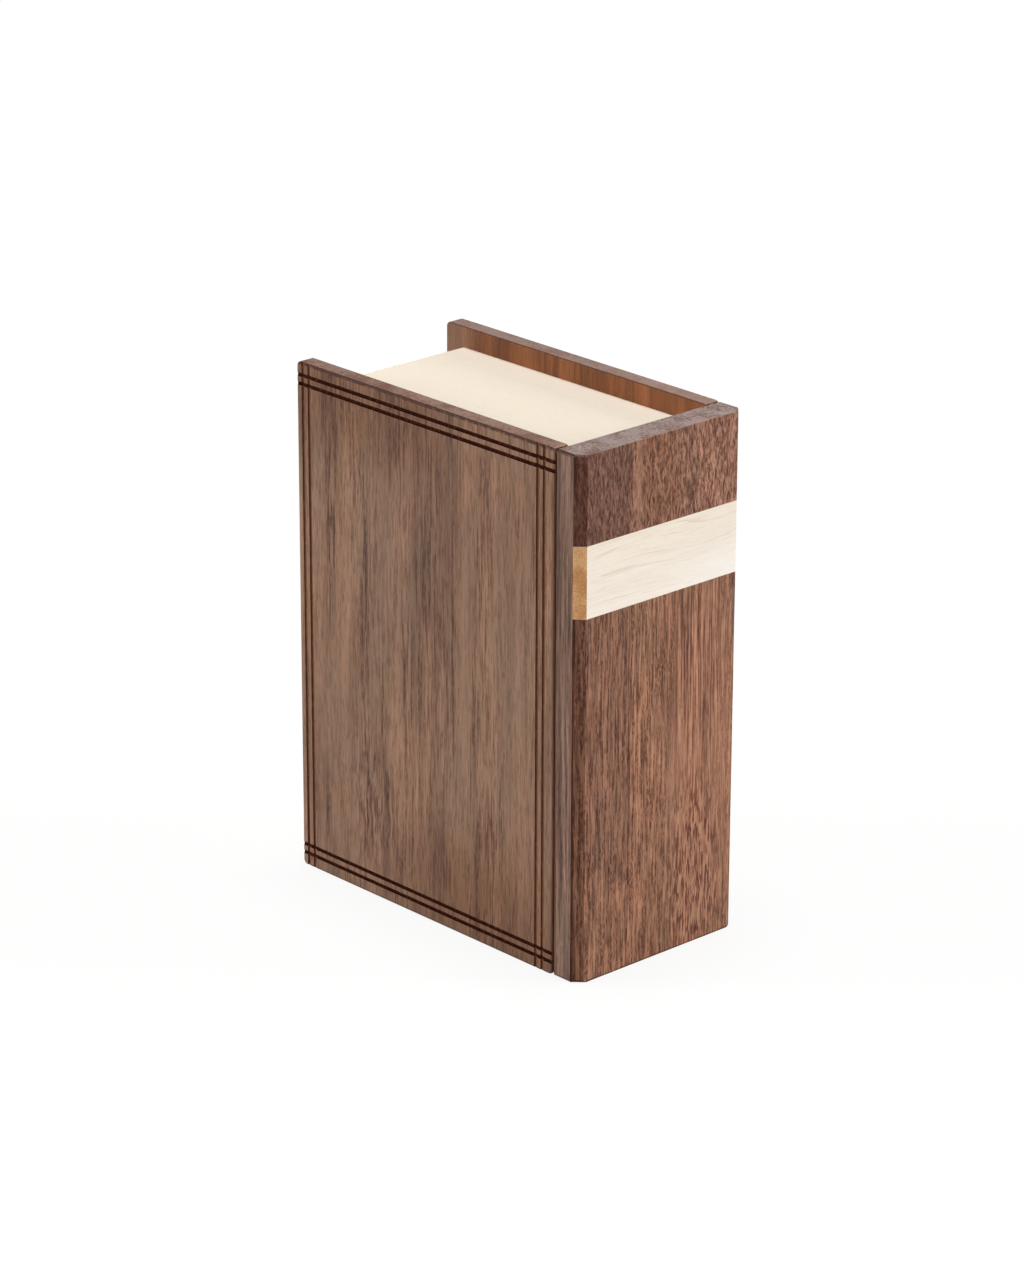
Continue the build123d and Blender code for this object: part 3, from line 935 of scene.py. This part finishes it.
def merged_copy(node: str) -> BMesh:
    """Copy a CAD node's mesh with its triangles joined into whole faces.

    Args:
        node: The node.

    Returns:
        The copy.
    """
    bm = bmesh.new()
    bm.from_mesh(frame["nodes"][node].data)
    bmesh.ops.remove_doubles(bm, verts=bm.verts, dist=NEAR / 5)
    bmesh.ops.dissolve_limit(bm, angle_limit=FLAT_ANGLE, verts=bm.verts, edges=bm.edges)
    return bm


def first(*cases: tuple[bool, float]) -> float:
    """The number of the first case that holds, or nothing where none does."""
    return next((number for holds, number in cases if holds), 0.0)


def mark_faces(mesh: bpy.types.Mesh, marks: Callable[[Vector, Vector], dict[str, float]]) -> None:
    """Write numbers on each face of a mesh.

    Args:
        mesh: The mesh.
        marks: From a face's centre and normal, gives its numbers by their attributes' names.
    """
    rows = [marks(face.center, face.normal) for face in mesh.polygons]
    for name in rows[0]:
        attribute = mesh.attributes.new(name, "FLOAT", "FACE")
        attribute.data.foreach_set("value", [row[name] for row in rows])


def placed(name: str, data: bpy.types.ID) -> bpy.types.Object:
    """Put a mesh, a lamp or a camera in the scene, at the origin.

    Args:
        name: The new object's name.
        data: What it shows.

    Returns:
        The object.
    """
    thing = bpy.data.objects.new(name, data)
    bpy.context.scene.collection.objects.link(thing)
    return thing


class Bench:
    """Turns finished meshes into pieces that ride on the frame."""

    def __init__(self, finishes: Finishes) -> None:
        """Note each node's body and material slot.

        Args:
            finishes: The finishes that the pieces are given.
        """
        self.finishes = finishes
        record = frame["record"]
        bodies = record["behaviour"]["bodies"]
        self.body_of = {node: body for body, nodes in bodies.items() for node in nodes}
        self.slot_of = {part["node"]: part["material_slot"] for part in record["subparts"]}

    def fit(self, name: str, bm: BMesh, node: str, finish: str) -> bpy.types.Mesh:
        """Make a piece that stands for a CAD node.

        Args:
            name: The piece's name.
            bm: Its mesh, which is freed.
            node: The node that it replaces.
            finish: The finish that it wears.

        Returns:
            The piece's mesh.
        """
        mesh = bpy.data.meshes.new(name)
        bmesh.ops.remove_doubles(bm, verts=bm.verts, dist=NEAR / 5)
        bmesh.ops.dissolve_degenerate(bm, dist=NEAR / 5, edges=bm.edges)
        bm.normal_update()
        bm.to_mesh(mesh)
        bm.free()
        mesh.shade_smooth()
        mesh.materials.append(self.finishes[finish])
        piece = placed(name, mesh)
        normals = piece.modifiers.new("flat_faces", "WEIGHTED_NORMAL")
        normals.weight = 100
        normals.thresh = 0.0
        normals.keep_sharp = True
        mesh.set_sharp_from_angle(angle=HARD_ANGLE)
        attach(piece, self.body_of[node])
        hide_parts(node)
        LOG.info("%s stands for %s in %s", name, node, finish)
        return mesh


@dataclass(frozen=True)
class Scoring:
    """The scored lines of a cover, in metres.

    Attributes:
        places: Where the lines lie along X and along Z, by the axis's index.
        half: Half a line's width.
    """

    places: dict[int, list[float]]
    half: float

    def near(self, face: Face, reach: float) -> list[bool]:
        """Whether a face's middle lies that near to an upright line, and to a level one."""
        at = face.calc_center_median()
        return [any(abs(at[axis] - line) < reach for line in lines) for axis, lines in self.places.items()]

    def has_wall(self, face: Face) -> bool:
        """Whether a face is the wall of a line."""
        at = face.calc_center_median()
        return any(
            abs(face.normal[axis]) > MOSTLY and abs(abs(at[axis] - line) - self.half) < NEAR
            for axis, lines in self.places.items() for line in lines
        )

    def on_lip(self, edge: Edge, y: float) -> bool:
        """Whether an edge in the plane at y bounds a line."""
        return lies_at(edge, 1, y) and any(map(self.has_wall, edge.link_faces))

    def on_rim(self, edge: Edge, y: float) -> bool:
        """Whether an edge in the plane at y bounds the board, and not a line."""
        sides = [f for f in edge.link_faces if abs(f.normal.y) < SLIGHTLY]
        return lies_at(edge, 1, y) and len(sides) == 1 and not self.has_wall(sides[0])


@dataclass
class Covers:
    """The two covers, with two scored lines along every edge. Sizes in millimetres.

    Attributes:
        bench: Where the pieces are made.
        corner: Radius of the boards' corners.
        arris: Width of the broken outer edge.
        inner_arris: Width of the broken inner edge.
        line_width: Width of a scored line.
        line_depth: Its depth.
        line_spacing: From one line of a pair to the other.
        inset_end: From the head or tail to the first line.
        inset_fore: From the fore edge to the first line.
        inset_spine: From the spine to the first line.
        lip: Width of the soft edge along a scored line.
        dark: How dark the broken edges are painted at the head, foot and spine, and inside; at the foot, at
            the seam with the spine and on the inner rim this is painted shade.
        highlight_wear: How far they are painted light at the head's corners, and at the fore edge, partly
            rubbed and partly painted highlight.
    """

    bench: Bench
    corner: float = 1.5
    arris: float = 0.5
    inner_arris: float = 0.3
    line_width: float = 1.1
    line_depth: float = 0.4
    line_spacing: float = 2.7
    inset_end: float = 4.0
    inset_fore: float = 2.6
    inset_spine: float = 4.4
    lip: float = 0.08
    dark: tuple[float, float, float, float] = (0.95, 0.9, 0.3, 0.7)
    highlight_wear: tuple[float, float] = (0.5, 0.2)

    def build(self) -> None:
        """Make both covers."""
        self._cover("front_cover", "front_cover_board", -1.0, "walnut_front")
        self._cover("back_cover", "back_cover_board", 1.0, "walnut_back")

    def _cover(self, node: str, name: str, outward: float, finish: str) -> None:
        """Make one cover.

        Args:
            node: The node that it replaces.
            name: The piece's name.
            outward: The sign of Y on the side of its scored face.
            finish: The finish that it wears.
        """
        low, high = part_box(node)
        outer, inner = (low.y, high.y) if outward < 0 else (high.y, low.y)
        floor = outer - outward * self.line_depth * MM
        scoring = Scoring(
            {
                0: self._pairs(low.x, high.x, self.inset_fore, self.inset_spine),
                2: self._pairs(low.z, high.z, self.inset_end, self.inset_end),
            },
            self.line_width * MM / 2,
        )
        near, far = sorted((floor, inner))
        bm = cuboid(Vector((low.x, near, low.z)), Vector((high.x, far, high.z)))
        ease(bm, lambda e: along(e, 1) > MOSTLY, self.corner, 5)
        self._score(bm, scoring, floor, outer)
        ease(bm, lambda e: scoring.on_rim(e, outer), self.arris, 3)
        ease(bm, lambda e: scoring.on_lip(e, outer), self.lip)
        ease(bm, lambda e: scoring.on_rim(e, inner), self.inner_arris)
        self._burn(bm, scoring, outer)
        bmesh.ops.dissolve_limit(
            bm, angle_limit=FLAT_ANGLE / 4, verts=bm.verts, edges=bm.edges, delimit={"MATERIAL"},
        )
        mesh = self.bench.fit(name, bm, node, finish)
        for scorched in ("scorched_along", "scorched_across"):
            mesh.materials.append(self.bench.finishes[scorched])
        mark_faces(mesh, lambda _, normal: self._marks(normal, outward))

    def _pairs(self, low: float, high: float, after_low: float, before_high: float) -> list[float]:
        """Places of a pair of lines near each end of the board."""
        steps = (0.0, self.line_spacing)
        return [low + (after_low + s) * MM for s in steps] + [high - (before_high + s) * MM for s in steps]

    def _score(self, bm: BMesh, scoring: Scoring, floor: float, outer: float) -> None:
        """Raise the board between the scored lines.

        Args:
            bm: The cover's mesh, up to the floor of the lines.
            scoring: The scored lines.
            floor: Where their floor lies along Y.
            outer: Where the scored face lies.
        """
        for axis, lines in scoring.places.items():
            normal = Vector()
            normal[axis] = 1.0
            for place in [line + side for line in lines for side in (-scoring.half, scoring.half)]:
                faces = [f for f in bm.faces if abs(f.calc_center_median().y - floor) < NEAR]
                edges = dict.fromkeys(e for f in faces for e in f.edges)
                verts = dict.fromkeys(v for f in faces for v in f.verts)
                bmesh.ops.bisect_plane(
                    bm, geom=[*faces, *edges, *verts], dist=NEAR / 10,
                    plane_co=normal * place, plane_no=normal,
                )
        islands = [
            f for f in bm.faces
            if abs(f.calc_center_median().y - floor) < NEAR and not any(scoring.near(f, scoring.half))
        ]
        raised = bmesh.ops.extrude_face_region(bm, geom=islands)["geom"]
        tops = [v for v in raised if isinstance(v, bmesh.types.BMVert)]
        bmesh.ops.translate(bm, vec=(0.0, outer - floor, 0.0), verts=tops)
        bmesh.ops.recalc_face_normals(bm, faces=bm.faces)

    def _burn(self, bm: BMesh, scoring: Scoring, outer: float) -> None:
        """Give the faces of the scored lines the two scorched finishes that follow the board's own.

        Args:
            bm: The cover's mesh.
            scoring: The scored lines.
            outer: Where its scored face lies along Y.
        """
        for face in bm.faces:
            depth = abs(face.calc_center_median().y - outer)
            if NEAR / 2 < depth < self.line_depth * MM + NEAR:
                upright, level = scoring.near(face, scoring.half + self.lip * MM)
                face.material_index = 2 if level else int(upright)

    def _marks(self, normal: Vector, outward: float) -> dict[str, float]:
        """How dark, how light and how far inside a face is; the darkness is partly painted shade and the
        lightness partly painted highlight.

        Args:
            normal: The face's normal.
            outward: The sign of Y on the side of the scored face.

        Returns:
            The numbers, by their attributes' names.
        """
        x, y, z = normal
        head, foot, spine, inside = self.dark
        corners, fore_edge = self.highlight_wear
        inward = 0.3
        # arris: painted shade at the foot, at the seam with the spine and on the inner rim, a darker edge at
        # the head; worn_highlight: rubbed edges and painted highlight.
        return {
            "arris": first(
                (not SLIGHTLY < abs(y) < FULLY, 0.0), (y * outward < 0, inside), (z < -PARTLY, foot),
                (x > PARTLY, spine), (abs(x) < PARTLY < min(abs(y), z), head),
            ),
            "worn_highlight": first((min(abs(x), z) > SLIGHTLY, corners), (min(-x, abs(y)) > PARTLY, fore_edge)),
            "inner": float(y * outward < -inward),
        }


@dataclass
class Spine:
    """The sliding spine: a core board with two walnut facings and a maple band. Sizes in millimetres.

    Attributes:
        bench: Where the pieces are made.
        arris: Width of the broken edge at the head and foot of the facings.
        corner: Width of the broken edge on their chamfers, which rounds the spine's corners.
        crease: Width of the soft edge between a facing's front and its chamfers.
        joint: Width of the eased edge where two facings meet.
        edge: Width of the eased edges of the core.
        dark: How dark the core's edges are painted at the foot, along its sides and at the head; at the foot
            and along the sides, where it meets the covers, this is painted shade.
        chamfer_shade: How dark the chamfers are painted on the lower and on the upper facing, as painted
            shade.
        highlight_wear: How far the facings' forward edges are painted light, partly rubbed and partly
            painted highlight.
    """

    bench: Bench
    arris: float = 0.5
    corner: float = 1.0
    crease: float = 0.5
    joint: float = 0.05
    edge: float = 0.12
    dark: tuple[float, float, float] = (0.9, 0.6, 0.95)
    chamfer_shade: tuple[float, float] = (0.32, 0.45)
    highlight_wear: float = 0.6

    def build(self) -> None:
        """Make the core and its facings."""
        self._core()
        self._facing("spine_face_lower", "lower_facing", "walnut_lower", (True, False))
        self._facing("spine_face_upper", "upper_facing", "walnut_upper", (False, True))
        self._facing("label_band", "band_facing", "maple_band", (False, False))

    def _core(self) -> None:
        """Make the core board, with its edges eased except where the facings are glued on."""
        core = merged_copy("spine_core")
        low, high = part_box("spine_core")
        ease(core, lambda e: is_sharp(e) and not lies_at(e, 0, high.x), self.edge)
        mesh = self.bench.fit("spine_core_board", core, "spine_core", "walnut_core")
        foot, sides, head = self.dark
        rim = abs(low.y) - self.corner * 1.1 * MM
        eased, plain = 0.25, 0.98

        def marks(centre: Vector, normal: Vector) -> dict[str, float]:
            """How dark a face is painted: shade at the foot and at the seams with the covers, and a darker
            edge at the head.
            """
            x, y, z = normal
            outside = low.x < centre.x < high.x and abs(centre.y) > rim
            cases = (z < -PARTLY, foot), (abs(x) > PARTLY, sides), (abs(y) > eased, head)
            return {"arris": first((not outside or abs(y) > plain, 0.0), *cases)}

        mark_faces(mesh, marks)

    def _facing(self, node: str, name: str, finish: str, ends: tuple[bool, bool]) -> None:
        """Make one facing.

        Args:
            node: The node that it replaces.
            name: The piece's name.
            finish: The finish that it wears.
            ends: Whether its foot and its head are free ends, with a broken edge.
        """
        low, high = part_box(node)
        slope = high.x - low.x
        outline = ((low.x, low.y), (high.x, low.y + slope), (high.x, high.y - slope), (low.x, high.y))
        bm = bmesh.new()
        foot = bm.faces.new([bm.verts.new((x, y, low.z)) for x, y in outline])
        copy = bmesh.ops.duplicate(bm, geom=[foot])["geom"]
        risen = bmesh.ops.extrude_face_region(bm, geom=[f for f in copy if isinstance(f, Face)])["geom"]
        heads = [v for v in risen if isinstance(v, bmesh.types.BMVert)]
        bmesh.ops.translate(bm, vec=(0.0, 0.0, high.z - low.z), verts=heads)
        bmesh.ops.remove_doubles(bm, verts=bm.verts, dist=NEAR / 5)
        bmesh.ops.recalc_face_normals(bm, faces=bm.faces)
        for z, free in zip((low.z, high.z), ends):
            corner, arris = (self.corner, self.arris) if free else (self.joint, self.joint)
            ease(
                bm, lambda e: lies_at(e, 2, z) and not (lies_at(e, 0, low.x) or lies_at(e, 0, high.x)),
                corner, 3,
            )
            ease(bm, lambda e: lies_at(e, 2, z) and lies_at(e, 0, high.x), arris)
        shortest = 5 * MM
        ease(
            bm, lambda e: lies_at(e, 0, high.x) and e.calc_length() > shortest and along(e, 2) > FULLY,
            self.crease, 3,
        )
        mesh = self.bench.fit(name, bm, node, finish)
        if any(ends):
            mark_faces(mesh, lambda _, normal: self._marks(normal, self.chamfer_shade[ends[1]]))

    def _marks(self, normal: Vector, slope: float) -> dict[str, float]:
        """How dark and how light a face of a walnut facing is painted: shade at the foot and on the
        chamfers, rubbing and painted highlight on the forward edges.

        Args:
            normal: The face's normal.
            slope: How dark the chamfers are painted, as painted shade.

        Returns:
            The numbers, by their attributes' names.
        """
        x, y, z = normal
        eased = x > CLEARLY and (z > PARTLY or abs(y) > SLIGHTLY)
        return {
            "arris": first((z < -PARTLY, self.dark[0]), (abs(y) > HALFWAY, slope)),
            "worn_highlight": first((eased, self.highlight_wear)),
        }


@dataclass
class EasedBoards:
    """Boards and fittings that keep the CAD's own form, with the sharpness taken off their edges.

    Attributes:
        bench: Where the pieces are made.
        width: Width of the eased edges, in millimetres.
    """

    bench: Bench
    width: float = 0.18

    def build(self) -> None:
        """Make the page block, the lid, the key, the bolt and their fittings."""
        boards = {
            "maple_pages": {"page_head": "page_head_board", "page_tail": "page_tail_board"},
            "maple_upright": {
                "fore_edge_board": "fore_edge_eased", "inner_spine_wall": "inner_wall_board",
                "floor_panel": "floor_panel_board", "lid_panel": "lid_panel_board",
            },
            "walnut_core": {"spine_key": "spine_key_bar"},
            "walnut_lower": {"lock_bolt": "lock_bolt_bar"},
            "brass": {
                "spine_key_screws": "slotted_screws", "spine_stop_pin": "spine_stop",
                "bolt_stop_pin": "bolt_stop", "lid_stop_pins": "lid_stops",
            },
            "nickel": {
                "carcass_magnets": "carcass_discs", "spine_magnets": "spine_discs",
                "cover_magnets": "cover_discs",
            },
            "beech": {"corner_dowels": "corner_pegs"},
        }
        for finish, pieces in boards.items():
            for node, name in pieces.items():
                bm = merged_copy(node)
                ease(bm, is_sharp, self.width)
                self.bench.fit(name, bm, node, finish)


@dataclass
class Studio:
    """A pale floor, soft lamps and the photograph's point of view. Sizes in millimetres.

    Attributes:
        camera_place: Where the camera stands.
        camera_target: What it looks at.
        camera_roll: Its tilt about the line of sight, in degrees.
        lens: Focal length for the sensor's long side.
        sensor: The sensor's long side.
        floor_radius: Radius of the round floor.
        floor_tone: Colour of the floor.
        white_share: Share of plain white in the floor that the camera sees.
        sky: Strength of the soft light from all round.
        lamp_rise: Height of the two side lamps above the floor, in degrees.
        lamp_spread: Angle that each lamp fills, which softens its shadows, in degrees.
        side_strength: Light of each side lamp.
        top_strength: Light of the lamp overhead.
    """

    camera_place: tuple[float, float, float] = (958.0, -888.4, 575.9)
    camera_target: tuple[float, float, float] = (2.2, -4.0, 82.8)
    camera_roll: float = 0.15
    lens: float = 133.6
    sensor: float = 36.0
    floor_radius: float = 6000.0
    floor_tone: Tone = (246, 245, 243)
    white_share: float = 0.86
    sky: float = 0.12
    lamp_rise: float = 12.0
    lamp_spread: float = 24.0
    side_strength: float = 1.94
    top_strength: float = 2.39

    def build(self) -> None:
        """Make everything round the object."""
        self._camera()
        self._floor()
        self._world()
        self._lamp("left_lamp", Vector((-0.7, -0.71)), self.lamp_rise, self.side_strength)
        self._lamp("right_lamp", Vector((0.7, 0.71)), self.lamp_rise, self.side_strength)
        self._lamp("top_lamp", Vector((0.0, -1.0)), 90.0, self.top_strength)
        bpy.context.scene.view_settings.view_transform = "Standard"

    def _camera(self) -> None:
        """Place the camera."""
        data = bpy.data.cameras.new("camera")
        data.sensor_width = self.sensor
        data.lens = self.lens
        camera = placed("camera", data)
        place, target = Vector(self.camera_place) * MM, Vector(self.camera_target) * MM
        look = (target - place).to_track_quat("-Z", "Y")
        roll = Quaternion((0.0, 0.0, 1.0), math.radians(self.camera_roll))
        camera.matrix_world = Matrix.Translation(place) @ (look @ roll).to_matrix().to_4x4()
        bpy.context.scene.camera = camera

    def _floor(self) -> None:
        """Lay a round floor just under the object."""
        bm = bmesh.new()
        bmesh.ops.create_circle(bm, cap_ends=True, segments=96, radius=self.floor_radius * MM)
        mesh = bpy.data.meshes.new("floor")
        bm.to_mesh(mesh)
        bm.free()
        sheet = NodeSheet(bpy.data.materials.new("pale_floor"))
        matt = sheet.add("ShaderNodeBsdfDiffuse", Color=paint(self.floor_tone))
        glow = sheet.add("ShaderNodeEmission", Color=WHITE, Strength=1.0)
        sheet.close("ShaderNodeOutputMaterial", sheet.times(sheet.seen(), self.white_share), matt, glow)
        mesh.materials.append(sheet.owner)
        floor = placed("floor", mesh)

    def _world(self) -> None:
        """Light the scene from all round, with white where it is looked at."""
        sheet = NodeSheet(bpy.data.worlds.new("studio"))
        soft = sheet.add("ShaderNodeBackground", Color=WHITE, Strength=self.sky)
        white = sheet.add("ShaderNodeBackground", Color=WHITE, Strength=1.0)
        sheet.close("ShaderNodeOutputWorld", sheet.seen(), soft, white)
        bpy.context.scene.world = sheet.owner

    def _lamp(self, name: str, heading: Vector, degrees: float, strength: float) -> None:
        """Hang one large, far, soft lamp.

        Args:
            name: The lamp's name.
            heading: Its direction from the object on plan.
            degrees: Its height above the floor.
            strength: Its light.
        """
        data = bpy.data.lights.new(name, "SUN")
        data.energy = strength
        data.angle = math.radians(self.lamp_spread)
        lamp = placed(name, data)
        rise = math.radians(degrees)
        flat = heading.normalized() * math.cos(rise)
        lamp.location = Vector((flat.x, flat.y, math.sin(rise)))
        lamp.rotation_mode = "QUATERNION"
        lamp.rotation_quaternion = (-lamp.location).to_track_quat("-Z", "Y")


def main() -> None:
    """Build the box and its studio."""
    logging.basicConfig(level=logging.INFO, format="%(message)s")
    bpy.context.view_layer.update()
    bench = Bench(Finishes())
    Covers(bench).build()
    Spine(bench).build()
    EasedBoards(bench).build()
    Studio().build()


if __name__ == "__main__":
    main()
